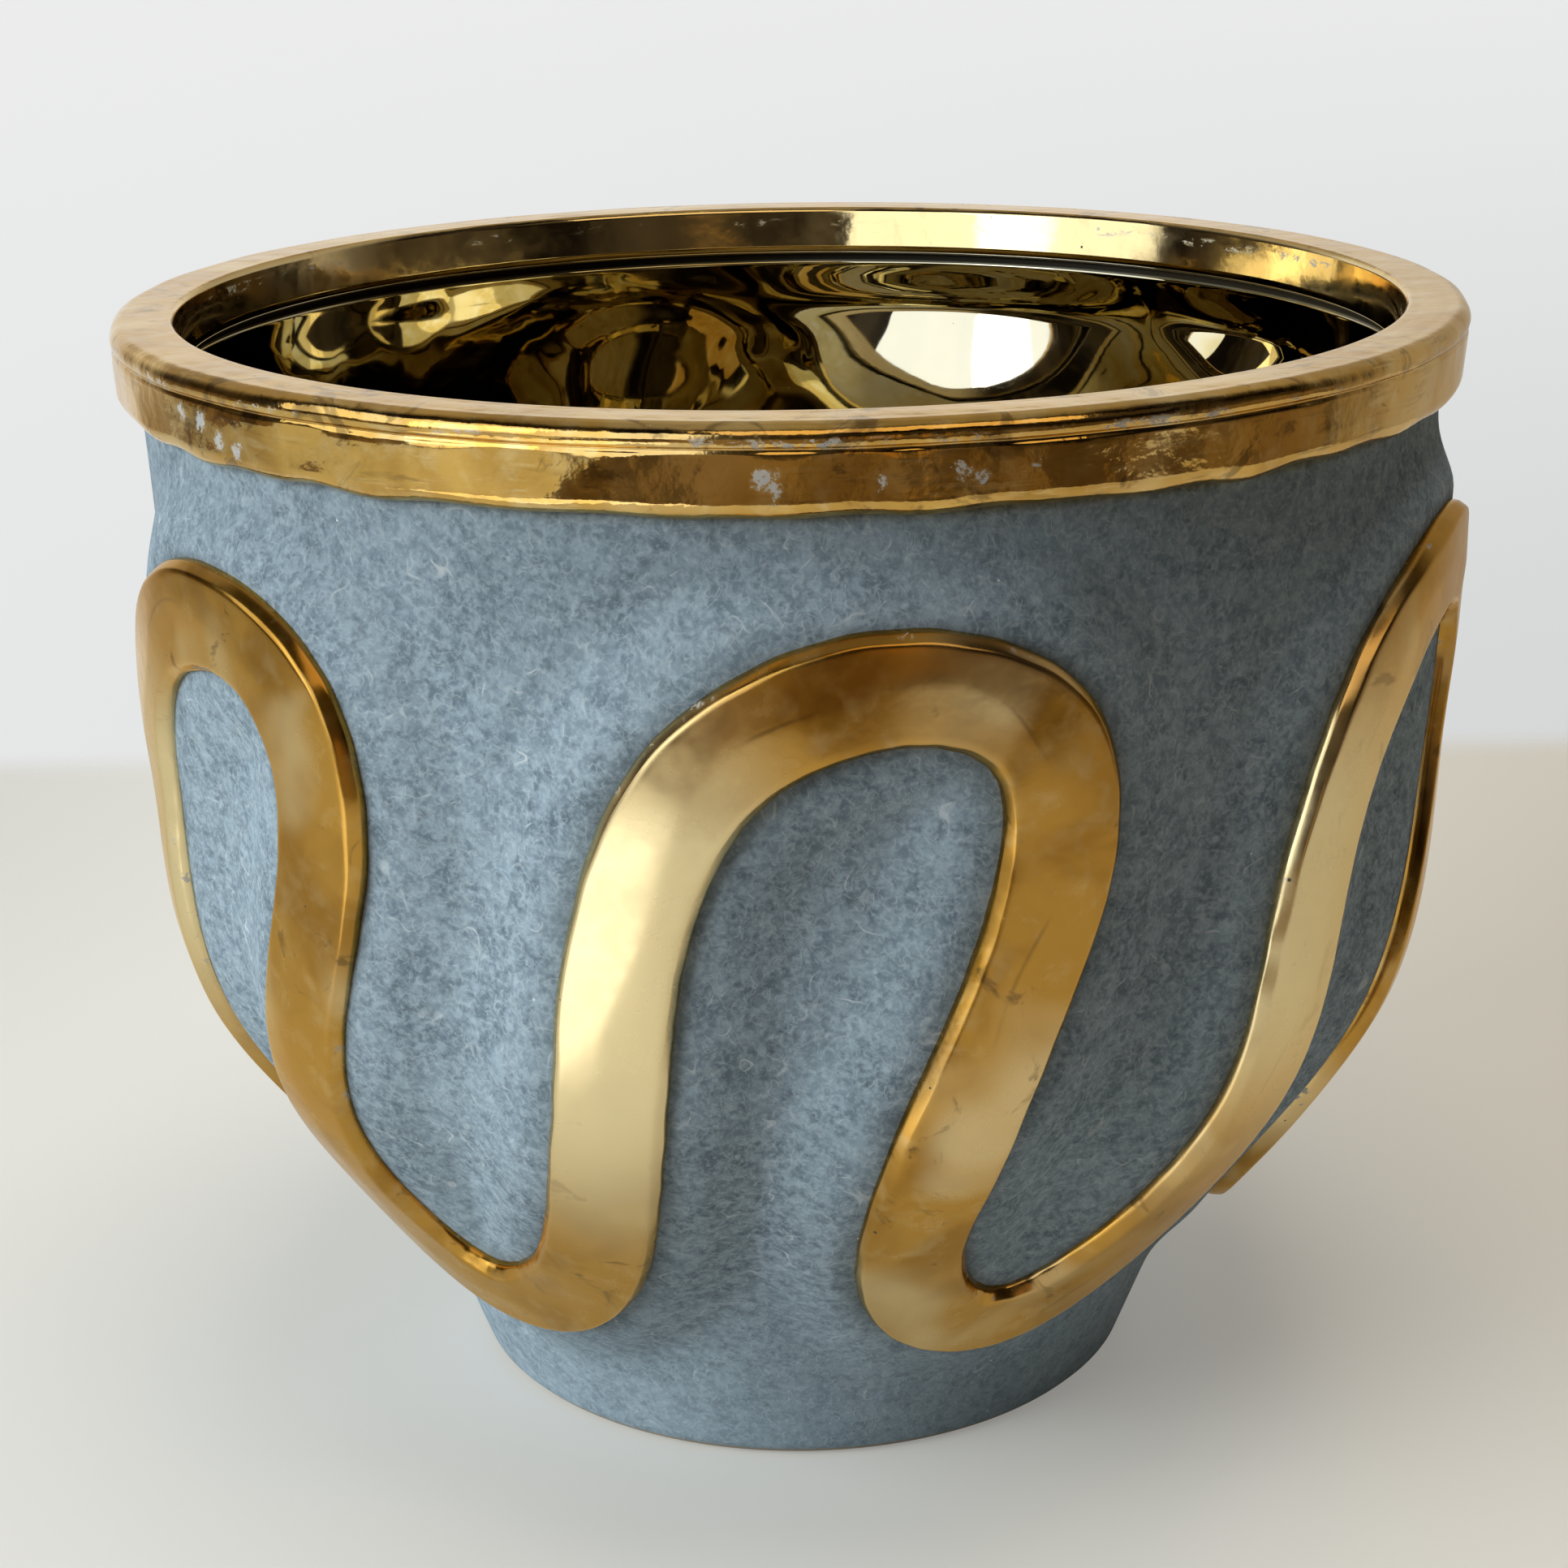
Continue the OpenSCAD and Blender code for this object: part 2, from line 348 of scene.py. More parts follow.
class Graph:
    """Short calls that add nodes to one node tree."""

    def __init__(self, tree, coordinates):
        self.nodes = tree.nodes
        self.links = tree.links
        self.place = self.nodes.new("ShaderNodeTexCoord").outputs[coordinates]

    def feed(self, socket, value):
        if isinstance(value, bpy.types.NodeSocket):
            self.links.new(value, socket)
        else:
            socket.default_value = value

    def math(self, operation, a, b=0.0, clamp=False):
        node = self.nodes.new("ShaderNodeMath")
        node.operation = operation
        node.use_clamp = clamp
        self.feed(node.inputs[0], a)
        self.feed(node.inputs[1], b)
        return node.outputs[0]

    def times(self, *values):
        total = values[0]
        for value in values[1:]:
            total = self.math("MULTIPLY", total, value)
        return total

    def most(self, *values):
        largest = values[0]
        for value in values[1:]:
            largest = self.math("MAXIMUM", largest, value)
        return largest

    def fit(self, value, low, high, to_low=0.0, to_high=1.0):
        """A smooth step from low to high."""
        node = self.nodes.new("ShaderNodeMapRange")
        node.interpolation_type = "SMOOTHSTEP"
        self.feed(node.inputs["Value"], value)
        node.inputs["From Min"].default_value = low
        node.inputs["From Max"].default_value = high
        node.inputs["To Min"].default_value = to_low
        node.inputs["To Max"].default_value = to_high
        return node.outputs["Result"]

    def fall(self, value, low, high, height=1.0):
        """A smooth step down, from height at low to 0 at high."""
        return self.fit(value, low, high, height, 0)

    def band(self, value, centre, inner, outer, height=1.0):
        """Height where the value is within inner of the centre, and 0 where it is further off than outer."""
        away = self.math("ABSOLUTE", self.math("SUBTRACT", value, centre))
        return self.fall(away, inner, outer, height)

    def mix(self, factor, a, b):
        node = self.nodes.new("ShaderNodeMix")
        node.data_type = "RGBA"
        self.feed(node.inputs["Factor"], factor)
        self.feed(node.inputs[6], a)
        self.feed(node.inputs[7], b)
        return node.outputs[2]

    def axis(self, name):
        node = self.nodes.new("ShaderNodeSeparateXYZ")
        self.links.new(self.place, node.inputs["Vector"])
        return node.outputs[name]

    def moved(self, offset, scale=(1, 1, 1)):
        node = self.nodes.new("ShaderNodeMapping")
        self.links.new(self.place, node.inputs["Vector"])
        node.inputs["Location"].default_value = offset
        node.inputs["Scale"].default_value = scale
        return node.outputs["Vector"]

    def noise(self, size, detail=2.0, roughness=0.5, distortion=0.0, offset=None, scale=(1, 1, 1)):
        """Noise whose features are about size across."""
        node = self.nodes.new("ShaderNodeTexNoise")
        self.links.new(self.moved(offset, scale) if offset else self.place, node.inputs["Vector"])
        node.inputs["Scale"].default_value = 1 / size
        node.inputs["Detail"].default_value = detail
        node.inputs["Roughness"].default_value = roughness
        node.inputs["Distortion"].default_value = distortion
        return node.outputs["Fac"]

    def patches(self, size, low, high, to_low=0.0, to_high=1.0, **kind):
        """Noise as patches: to_low where it lies under low, and to_high where it lies over high."""
        return self.fit(self.noise(size, **kind), low, high, to_low, to_high)

    def value(self, name):
        node = self.nodes.new("ShaderNodeAttribute")
        node.attribute_name = name
        return node.outputs["Fac"]

    def bump(self, height, strength, distance):
        node = self.nodes.new("ShaderNodeBump")
        node.inputs["Strength"].default_value = strength
        node.inputs["Distance"].default_value = distance
        self.links.new(height, node.inputs["Height"])
        return node.outputs["Normal"]

    def fibres(self, size, width, offset, curl=0.5, broken=0.44):
        """Thin curling lines, broken into short strokes, fewer where broken is higher."""
        lines = self.noise(size, detail=1, distortion=curl, offset=offset)
        gaps = {"detail": 1, "offset": offset[::-1]}
        kept = self.patches(size * FIBRE_GAPS, broken, broken + FIBRE_FADE, **gaps)
        return self.times(self.band(lines, 0.5, 0, width), kept)

    def dots(self, size, reach, share, offset):
        """Scattered dots: size apart, reach across in cells, with only a share of the cells holding one."""
        cells = self.nodes.new("ShaderNodeTexVoronoi")
        self.links.new(self.moved(offset), cells.inputs["Vector"])
        cells.inputs["Scale"].default_value = 1 / size
        split = self.nodes.new("ShaderNodeSeparateColor")
        self.links.new(cells.outputs["Color"], split.inputs["Color"])
        held = self.math("LESS_THAN", split.outputs["Red"], share)
        return self.times(self.fall(cells.outputs["Distance"], reach * DOT_CORE, reach), held)


class Surface(Graph):
    """The nodes of one material."""

    def __init__(self, name):
        self.material = bpy.data.materials.new(name)
        self.material.use_nodes = True
        super().__init__(self.material.node_tree, "Object")
        self.shader = self.nodes["Principled BSDF"]

    def set(self, **values):
        """Sets or links the shader's own sockets."""
        for name, value in values.items():
            self.feed(self.shader.inputs[name.replace("_", " ")], value)

    def show_through(self, shader, opening):
        """Shows a shader that is clear where the opening is 1."""
        clear = self.nodes.new("ShaderNodeBsdfTransparent")
        mixed = self.nodes.new("ShaderNodeMixShader")
        self.feed(mixed.inputs[0], opening)
        self.links.new(shader, mixed.inputs[1])
        self.links.new(clear.outputs["BSDF"], mixed.inputs[2])
        self.links.new(mixed.outputs["Shader"], self.nodes["Material Output"].inputs["Surface"])


# Clay colours
CLAY_DEEP = (0.116, 0.165, 0.208, 1)
CLAY_BLUE = (0.162, 0.225, 0.280, 1)
CLAY_PATCH = (0.292, 0.382, 0.452, 1)
CLAY_MOTTLE = (0.378, 0.485, 0.573, 1)
CLAY_HOLLOW = (0.080, 0.112, 0.140, 1)
CLAY_GRAIN = (0.450, 0.562, 0.651, 1)
CLAY_STROKE = (0.505, 0.598, 0.668, 1)
CLAY_HAIR = (0.66, 0.72, 0.76, 1)
CLAY_LOW = (0.385, 0.487, 0.565, 1)
# Painted shade, darkening the clay beside the strip and under the rim
CLAY_PAINTED_SHADE = (0.070, 0.090, 0.105, 1)
CLAY_SPECK = (0.70, 0.75, 0.77, 1)
CLAY_CHIP = (0.56, 0.48, 0.36, 1)
CLAY_RUBBED = (0.42, 0.34, 0.25, 1)

# Clay textures, as settings for the graph's patches, fibres, dots and noise
CLOUDS = dict(size=0.018, low=0.36, high=0.66, detail=3, roughness=0.55)
PATCHES = dict(size=0.0060, low=0.36, high=0.66, roughness=0.55, distortion=0.3, offset=(0.8, 0.2, 0.5))
MOTTLE = dict(size=0.0019, low=0.35, high=0.69, detail=3, roughness=0.68, distortion=0.5)
DARK_SPOTS = dict(
    size=0.0024, low=0.49, high=0.77, detail=3, roughness=0.65, distortion=0.4, offset=(0.3, 0.9, 0.7)
)
FINE_GRAIN = dict(size=0.0008, low=0.46, high=0.70, roughness=0.6)
STROKES = (
    dict(size=0.0042, width=0.030, offset=(0.1, 0.2, 0.3)),
    dict(size=0.0030, width=0.040, offset=(0.7, 0.4, 0.9)),
    dict(size=0.0021, width=0.055, offset=(0.4, 0.8, 0.6), curl=0.2),
)
HAIRS = (
    dict(size=0.0070, width=0.020, offset=(0.2, 0.6, 0.5), curl=0.3, broken=0.56),
    dict(size=0.0052, width=0.024, offset=(0.9, 0.1, 0.4), curl=0.2, broken=0.58),
)
SPECKS = (
    dict(size=0.0046, reach=0.050, share=0.16, offset=(0.31, 0.17, 0.05)),
    dict(size=0.011, reach=0.032, share=0.20, offset=(0.5, 0.3, 0.7)),
)
CHIPS = dict(size=0.046, reach=0.024, share=0.22, offset=(0.03, 0.21, 0.44))
# Patches that break up the painted shade beside the strip
STRIP_SHADE_PATCHES = dict(size=0.012, low=0.3, high=0.7, to_low=0.20, to_high=0.65)
RUBBED_EDGE = dict(size=0.004, detail=3)
CLAY_TOUCH = dict(size=0.0009, roughness=0.6)

# Heights on the clay: where it is paler above the foot, darker under the rim with painted shade, and rubbed
# bare on the foot
PALE_H = 0.060
PALE_STRENGTH = (0.34, 0.04)
SHADED_H = 0.040
SHADED_STRENGTH = 0.30
RUBBED_Z = (0.0012, 0.0020)
RUBBED_STRAY = 0.0016

# Roughness of the clay between its mottles and on them, and how far its touch stands out
CLAY_ROUGH = (0.86, 0.72)
CLAY_RELIEF = 0.00018


def clay_material():
    """Matte blue-grey coat with pale felt-like strokes, specks and small chips, and painted shade beside the
    strip and under the rim.
    """
    g = Surface("matte_clay_coat")
    height = g.axis("Z")
    mottle = g.patches(**MOTTLE)
    strokes = g.most(*[g.fibres(**kind) for kind in STROKES])
    hairs = g.most(*[g.fibres(**kind) for kind in HAIRS])
    specks = g.most(*[g.dots(**kind) for kind in SPECKS])
    low = g.fit(height, 0, PALE_H, *PALE_STRENGTH)
    # Painted shade: darker beside the strip's edges and under the rim
    shade_under_rim = g.fit(height, NECK_Z - SHADED_H, NECK_Z, 0, SHADED_STRENGTH)
    painted_shade = g.most(g.times(g.value("near_strip"), g.patches(**STRIP_SHADE_PATCHES)), shade_under_rim)
    foot_line = g.math("ADD", height, g.times(g.noise(**RUBBED_EDGE), RUBBED_STRAY))
    rubbed = g.most(g.fall(foot_line, *RUBBED_Z), g.value("foot_inside"))
    # Each layer has its place, its strength and its colour
    layers = (
        (g.patches(**PATCHES), 0.50, CLAY_PATCH),
        (mottle, 0.66, CLAY_MOTTLE),
        (g.patches(**DARK_SPOTS), 0.70, CLAY_HOLLOW),
        (g.patches(**FINE_GRAIN), 0.38, CLAY_GRAIN),
        (strokes, 0.38, CLAY_STROKE),
        (hairs, 0.70, CLAY_HAIR),
        (low, 1, CLAY_LOW),
        (painted_shade, 1, CLAY_PAINTED_SHADE),
        (specks, 0.8, CLAY_SPECK),
        (g.dots(**CHIPS), 1, CLAY_CHIP),
        (rubbed, 1, CLAY_RUBBED),
    )
    colour = g.mix(g.patches(**CLOUDS), CLAY_DEEP, CLAY_BLUE)
    for place, strength, tone in layers:
        colour = g.mix(g.times(place, strength), colour, tone)
    touch = g.math("ADD", g.times(strokes, 0.5), g.noise(**CLAY_TOUCH))
    g.set(
        Base_Color=colour,
        Roughness=g.fit(mottle, 0, 1, *CLAY_ROUGH),
        Specular_IOR_Level=0.28,
        Normal=g.bump(touch, strength=0.35, distance=CLAY_RELIEF),
    )
    return g.material


# Bare clay
BARE_DARK = (0.52, 0.43, 0.33, 1)
BARE_LIGHT = (0.68, 0.60, 0.49, 1)
BARE_SPECK = (0.34, 0.27, 0.20, 1)
BARE_CLOUDS = dict(size=0.018, low=0.35, high=0.7, detail=4, roughness=0.6)
BARE_SPECKS = dict(size=0.004, reach=0.12, share=0.4, offset=(0.2, 0.1, 0.6))
BARE_TOUCH = dict(size=0.0012, detail=3)
BARE_RELIEF = 0.0002


def bare_clay_material():
    """Unglazed clay of the floor's underside."""
    g = Surface("bare_clay")
    colour = g.mix(g.patches(**BARE_CLOUDS), BARE_DARK, BARE_LIGHT)
    colour = g.mix(g.dots(**BARE_SPECKS), colour, BARE_SPECK)
    g.set(
        Base_Color=colour,
        Roughness=0.9,
        Specular_IOR_Level=0.2,
        Normal=g.bump(g.noise(**BARE_TOUCH), strength=0.4, distance=BARE_RELIEF),
    )
    return g.material


# Marks in the gold
STAIN_BROWN = (0.075, 0.042, 0.016, 1)
SCRATCH_BROWN = (0.10, 0.055, 0.018, 1)
PIT_BLACK = (0.030, 0.018, 0.010, 1)
STAIN_STRENGTH = 0.55
STAIN_EDGE = 0.09
PIT_DULL = 0.8
WORN_AND_SHADED_ROUGH = 0.5
COAT_ROUGH = 0.10
# Ranges of the noise over which the tone, the haze and the roughness change
TONE_RANGE = (0.32, 0.60)
HAZE_RANGE = (0.44, 0.80)
ROUGH_RANGE = (0.38, 0.62)
# How far from the ridge, in cm, its line is full and gone
RIDGE_LINE = (0.004, 0.050)
# How much of the marks and dents is left where the lustre is thin
CALMEST = 0.2

# Gold textures
GOLD_CLOUDS = dict(size=0.016, detail=3, roughness=0.55, distortion=0.6)
GOLD_HAZE = dict(size=0.0045, detail=3, roughness=0.55, distortion=0.3, offset=(0.6, 0.3, 0.2))
GOLD_FADES = dict(size=0.030, low=0.48, high=0.66, to_high=0.55, distortion=0.4, offset=(0.15, 0.65, 0.35))
GOLD_STAINS = dict(size=0.013, detail=5, roughness=0.6, distortion=1.8, offset=(0.5, 0.1, 0.8))
GOLD_DENTS = dict(detail=4, roughness=0.42)
GOLD_PITS = (
    dict(size=0.0075, reach=0.045, share=0.32, offset=(0.9, 0.6, 0.2)),
    dict(size=0.0031, reach=0.07, share=0.05, offset=(0.2, 0.4, 0.9)),
)
RIDGE_DRAWN = dict(size=0.026, low=0.56, high=0.70, to_high=0.8, offset=(0.7, 0.8, 0.2))
RUBS = dict(size=0.012, low=0.36, high=0.62, offset=(0.4, 0.7, 0.3))
SCRATCHES = dict(
    size=0.0013, low=0.54, high=0.66, detail=4, roughness=0.65, distortion=0.3, scale=(0.11, 0.11, 1)
)
DARK_SCRATCHES_AT = (0.1, 0.5, 0.2)
PALE_SCRATCHES_AT = (0.8, 0.3, 0.6)


def gold(
    name, tones, edge, rough, hazy, dent_size, dent_depth,
    coat, stain_from, scratched, wear_and_shade, bared_and_shade, bared_gloss,
):
    """Gold lustre over glaze: clouded colour, dents, pits, stains, and places rubbed down to what lies under
    it; inside the pot the same mask draws a painted shade line in the groove.
    """
    g = Surface(name)
    deep, mid, pale = tones
    thin = g.value("thin")
    calm = g.fit(thin, 0, 1, 1, CALMEST)
    clouds = g.noise(**GOLD_CLOUDS)
    haze = g.noise(**GOLD_HAZE)
    colour = g.mix(g.fit(clouds, *TONE_RANGE), deep, mid)
    paler = g.most(g.patches(**GOLD_FADES), thin, g.fit(haze, *HAZE_RANGE, 0, hazy))
    colour = g.mix(paler, colour, pale)
    stains = g.patches(low=stain_from, high=stain_from + STAIN_EDGE, **GOLD_STAINS)
    ridge_line = g.times(g.band(g.value("ridge"), RIDGE_MARK, *RIDGE_LINE), g.patches(**RIDGE_DRAWN))
    marks = g.times(g.most(stains, ridge_line), calm)
    colour = g.mix(g.times(marks, STAIN_STRENGTH), colour, STAIN_BROWN)
    if scratched:
        rubs = g.times(g.patches(to_high=scratched, **RUBS), calm)
        for tone, offset in ((SCRATCH_BROWN, DARK_SCRATCHES_AT), (pale, PALE_SCRATCHES_AT)):
            lines = g.patches(offset=offset, **SCRATCHES)
            colour = g.mix(g.times(lines, rubs), colour, tone)
    pits = g.most(*[g.dots(**kind) for kind in GOLD_PITS])
    colour = g.mix(pits, colour, PIT_BLACK)
    worn_and_shaded = wear_and_shade(g)
    metal = g.math("SUBTRACT", 1, g.times(pits, PIT_DULL))
    cloudy = g.times(g.math("ADD", haze, clouds), 0.5)
    dents = g.times(g.noise(dent_size, **GOLD_DENTS), calm)
    g.set(
        Base_Color=g.mix(worn_and_shaded, colour, bared_and_shade),
        Metallic=g.math("SUBTRACT", metal, worn_and_shaded, clamp=True),
        Roughness=g.most(g.fit(cloudy, *ROUGH_RANGE, *rough), g.times(worn_and_shaded, WORN_AND_SHADED_ROUGH)),
        Specular_Tint=edge,
        Specular_IOR_Level=bared_gloss,
        Coat_Weight=coat,
        Coat_Roughness=COAT_ROUGH,
        Normal=g.bump(dents, strength=1, distance=dent_depth),
    )
    return g.material


# Chips in the rim's gold: angle from the front in degrees, height below the top, reach
RIM_CHIPS = (
    (-54, 0.0058, 0.0016),
    (-51, 0.0064, 0.0021),
    (-48.5, 0.0084, 0.0019),
    (-46, 0.0092, 0.0016),
    (-2.0, 0.0070, 0.0024),
    (-1.4, 0.0088, 0.0015),
    (6.0, 0.0078, 0.0012),
    (11.5, 0.0068, 0.0019),
    (13, 0.0074, 0.0014),
    (17, 0.0066, 0.0009),
    (96, 0.0062, 0.0022),
    (158, 0.0070, 0.0024),
    (160, 0.0090, 0.0014),
    (205, 0.0060, 0.0014),
    (262, 0.0082, 0.0020),
)

# Shares of a chip's reach where it is full and where it ends, and how much of the gold is gone in it
CHIP_CORE = 0.45
CHIP_EDGE = 0.9
CHIP_STRENGTH = 0.9

# How far the chips' edges stray, and in waves of what size
RAGGED = 0.0042
RAGGED_SIZE = 0.0016

# How far under the top the rim's roll is rubbed, and how far from there the rubbing is full and gone
RUBBED_DROP = 0.0026
RUBBED_BAND = (0.0004, 0.0010)
SCUFF_STRENGTH = 0.5

# How far from the groove's middle its painted shade is full and gone, and how dark it is
GROOVE_PAINTED_SHADE = (0.0006, 0.0011, 0.97)

# Wear textures
CHIP_SPECKLE = dict(size=0.0010, low=0.36, high=0.50, to_low=0.25, detail=3, roughness=0.6)
RIM_SCUFFS = dict(
    size=0.0022, low=0.70, high=0.77,
    detail=4, roughness=0.7, distortion=0.5, offset=(0.2, 0.9, 0.4), scale=(1, 1, 2.2),
)
RIM_FLAKES = dict(
    size=0.0016, low=0.52, high=0.62, to_high=0.8,
    detail=4, roughness=0.7, distortion=0.4, offset=(0.7, 0.2, 0.5), scale=(0.5, 0.5, 1),
)
RIM_STRETCHES = dict(size=0.022, low=0.48, high=0.60, offset=(0.9, 0.4, 0.1))
STRIP_FLAKES = dict(
    size=0.0030, low=0.60, high=0.68, to_high=0.75,
    detail=4, roughness=0.7, distortion=0.4, offset=(0.6, 0.1, 0.9),
)
STRIP_STRETCHES = dict(size=0.024, low=0.46, high=0.60, offset=(0.2, 0.5, 0.6))


def groove_painted_shade(g):
    """Painted shade: a dark line in the groove under the rim."""
    return g.band(g.axis("Z"), GROOVE_Z, *GROOVE_PAINTED_SHADE)


def ragged_place(g):
    """The place on the surface, moved at random by up to RAGGED along each axis."""
    wobble = g.nodes.new("ShaderNodeTexNoise")
    wobble.inputs["Scale"].default_value = 1 / RAGGED_SIZE
    wobble.inputs["Detail"].default_value = 5
    wobble.inputs["Roughness"].default_value = 0.7
    g.links.new(g.place, wobble.inputs["Vector"])
    ragged = g.nodes.new("ShaderNodeVectorMath")
    ragged.operation = "MULTIPLY_ADD"
    g.links.new(wobble.outputs["Color"], ragged.inputs[0])
    ragged.inputs[1].default_value = (RAGGED,) * 3
    g.links.new(g.place, ragged.inputs[2])
    return ragged.outputs[0]


def rim_wear(g):
    """Chips where the gold has come off the rim, with ragged edges, small scuffs and a rubbed roll."""
    ragged = ragged_place(g)
    chips = 0.0
    for degrees, drop, reach in RIM_CHIPS:
        away = g.nodes.new("ShaderNodeVectorMath")
        away.operation = "DISTANCE"
        g.links.new(ragged, away.inputs[0])
        away.inputs[1].default_value = polar(math.radians(degrees), RIM_R, POT_H - drop) + RAGGED / 2
        chip = g.fall(away.outputs["Value"], reach * CHIP_CORE, reach * CHIP_EDGE, CHIP_STRENGTH)
        chips = g.most(chip, chips)
    chips = g.times(chips, g.patches(**CHIP_SPECKLE))
    scuffs = g.times(g.patches(**RIM_SCUFFS), SCUFF_STRENGTH)
    on_roll = g.band(g.axis("Z"), POT_H - RUBBED_DROP, *RUBBED_BAND)
    return g.most(chips, scuffs, g.times(g.patches(**RIM_FLAKES), g.patches(**RIM_STRETCHES), on_roll))


def strip_wear(g):
    """Flakes rubbed off along the brinks."""
    return g.times(g.patches(**STRIP_FLAKES), g.patches(**STRIP_STRETCHES), g.value("brink"))


def build_wall(material):
    """Closed wall: the swelling outside, the neck and tenon, the inner face, the ledge and the foot ring."""
    z = np.linspace(FOOT_ROUND, NECK_Z - TINY, WALL_ROWS)[:, None]
    away = strip_distance(wall_point(ANGLES, z, 0))
    lumps = LUMP_DEPTH * ripple(ANGLES, z, seed=3, waves_round=17, wave_up=0.035)
    lumps = lumps * smooth(z / LUMP_FADE) * smooth((NECK_Z - z) / LUMP_FADE)
    outer = wall_point(ANGLES, z, swell_at(z) * swell_share(away) + lumps)
    top = [polar(ANGLES, TENON_R, NECK_Z), polar(ANGLES, TENON_R, TENON_TOP)]
    step_z = [TENON_TOP, GROOVE_Z + STEP_TOP, GROOVE_Z + STEP_MID, GROOVE_Z]
    inner_z = np.linspace(GROOVE_Z - GROOVE_MARGIN, FLOOR_TOP + CORNER_H, INNER_ROWS)
    inner_z = np.concatenate([step_z, inner_z])[:, None]
    inner = polar(ANGLES, lining_radius(ANGLES, inner_z) + LINING_T + LINING_GAP, inner_z)
    foot_profile = np.concatenate([
        [(SEAT_R, FLOOR_TOP), (SEAT_R, LEDGE_Z), (HOLLOW_R, LEDGE_Z), (HOLLOW_R, FOOT_ROUND)],
        arc(HOLLOW_R + FOOT_ROUND, FOOT_ROUND, FOOT_ROUND, 180, 270, FOOT_STEPS)[1:],
        arc(FOOT_R - FOOT_ROUND, FOOT_ROUND, FOOT_ROUND, 270, 360, FOOT_STEPS)[:-1],
    ])
    foot = [polar(ANGLES, r, h) for r, h in foot_profile]
    rings = np.concatenate([outer, np.stack(top), inner, np.stack(foot)])
    piece = mesh_object("pot_wall", rings, ring_faces(len(rings), COLUMNS, True), material)
    # Painted shade beside the strip: how near each place on the outside lies to the strip's edge
    near = np.zeros(rings.shape[:2])
    near[: len(outer)] = np.exp(-np.clip(away - STRIP_W / 2, 0, None) / STRIP_SHADE_REACH)
    add_value(piece, "near_strip", near)
    inside = np.zeros(rings.shape[:2])
    inside[len(outer):] = 1
    add_value(piece, "foot_inside", inside)
    return piece


def hollow_share(angle, z, hollow):
    """How deep in one hollow each place lies, from 0 to 1."""
    degrees, height, wide, tall = hollow[:4]
    turn = (angle - math.radians(degrees) + math.pi) % (2 * math.pi) - math.pi
    return smooth(1 - np.hypot(turn * wall_radius(np.minimum(z, NECK_Z)) / wide, (z - height) / tall))


def lining_radius(angle, z):
    """Inner face of the pot: dished by hand, with a dark groove and a step in to the rim at its top."""
    at = np.minimum(z, NECK_Z)
    away = strip_distance(wall_point(angle, at, 0))
    follow = FOLLOW_SHARE * swell_at(at) * swell_share(away)
    for hollow in HOLLOWS:
        follow = follow + hollow[-1] * hollow_share(angle, z, hollow)
    uneven = UNEVEN_DEPTH * ripple(angle, z, seed=5, waves_round=7, wave_up=0.09)
    soft = smooth((GROOVE_Z - z) / SOFT_H)
    lean = LINING_LEAN * (1 - np.exp(-np.clip(GROOVE_Z - z, 0, None) / LEAN_FALL))
    plain = wall_radius(at) - (WALL_T + LINING_GAP + LINING_T) * slant(at) - lean
    groove = GROOVE_DEPTH * (1 - smooth(np.abs(z - GROOVE_Z) / GROOVE_HALF))
    dished = plain + soft * (follow + uneven) + groove
    return dished + (MOUTH_R - dished) * smooth((z - GROOVE_Z - STEP_GAP) / STEP_H)


def build_lining(material):
    """Gold coat inside: a closed shell from the middle of the floor to under the rim and back."""
    z = np.concatenate([
        np.linspace(FLOOR_TOP + CORNER_H, GROOVE_Z - GROOVE_MARGIN, LINING_ROWS),
        np.linspace(GROOVE_Z - GROOVE_START, GROOVE_Z + STEP_TOP, GROOVE_ROWS),
        [TENON_TOP],
    ])[:, None]
    face_r = lining_radius(ANGLES, z)
    floor_z = FLOOR_TOP + LINING_T
    floor_r = np.append(np.linspace(HUB_R, SEAT_R - FLOOR_INNER, FLOOR_RINGS - 1), SEAT_R - FLOOR_EDGE)
    low = polar(ANGLES, floor_r[:, None], floor_z)
    t = np.linspace(0, 1, CORNER_STEPS + 1)[1:-1, None]
    corner_r = curve(t, floor_r[-1], SEAT_R + CORNER_OUT, face_r[0])
    corner_z = curve(t, floor_z, floor_z + CORNER_UP, z[0, 0])
    corner = polar(ANGLES, corner_r, corner_z)
    face = polar(ANGLES, face_r, z)
    kept = (np.arange(len(z)) % BACK_STEP == 0) | (z[:, 0] > GROOVE_Z - BACK_FINE)
    back = polar(ANGLES, face_r[kept][::-1] + LINING_T, z[kept][::-1])
    under = polar(ANGLES, np.array([[SEAT_R - LINING_GAP], [HUB_R]]), FLOOR_TOP)
    rings = np.concatenate([low, corner, face, back, under])
    points = np.concatenate([rings.reshape(-1, 3), [(0, 0, floor_z), (0, 0, FLOOR_TOP)]])
    faces = ring_faces(len(rings), COLUMNS, False)
    floor_hub = len(rings) * COLUMNS
    under_hub = floor_hub + 1
    last_ring = floor_hub - COLUMNS
    for i in range(COLUMNS):
        following = (i + 1) % COLUMNS
        faces.append((floor_hub, following, i))
        faces.append((under_hub, last_ring + i, last_ring + following))
    piece = mesh_object("gold_inside", points, faces, material)
    pale = smooth(PALE_GROWTH * hollow_share(ANGLES, z, HOLLOWS[0]))
    start = (len(low) + len(corner)) * COLUMNS
    thin = np.zeros(len(points))
    thin[start : start + pale.size] = PALE_SHARE * pale.ravel()
    add_value(piece, "thin", thin)
    return piece


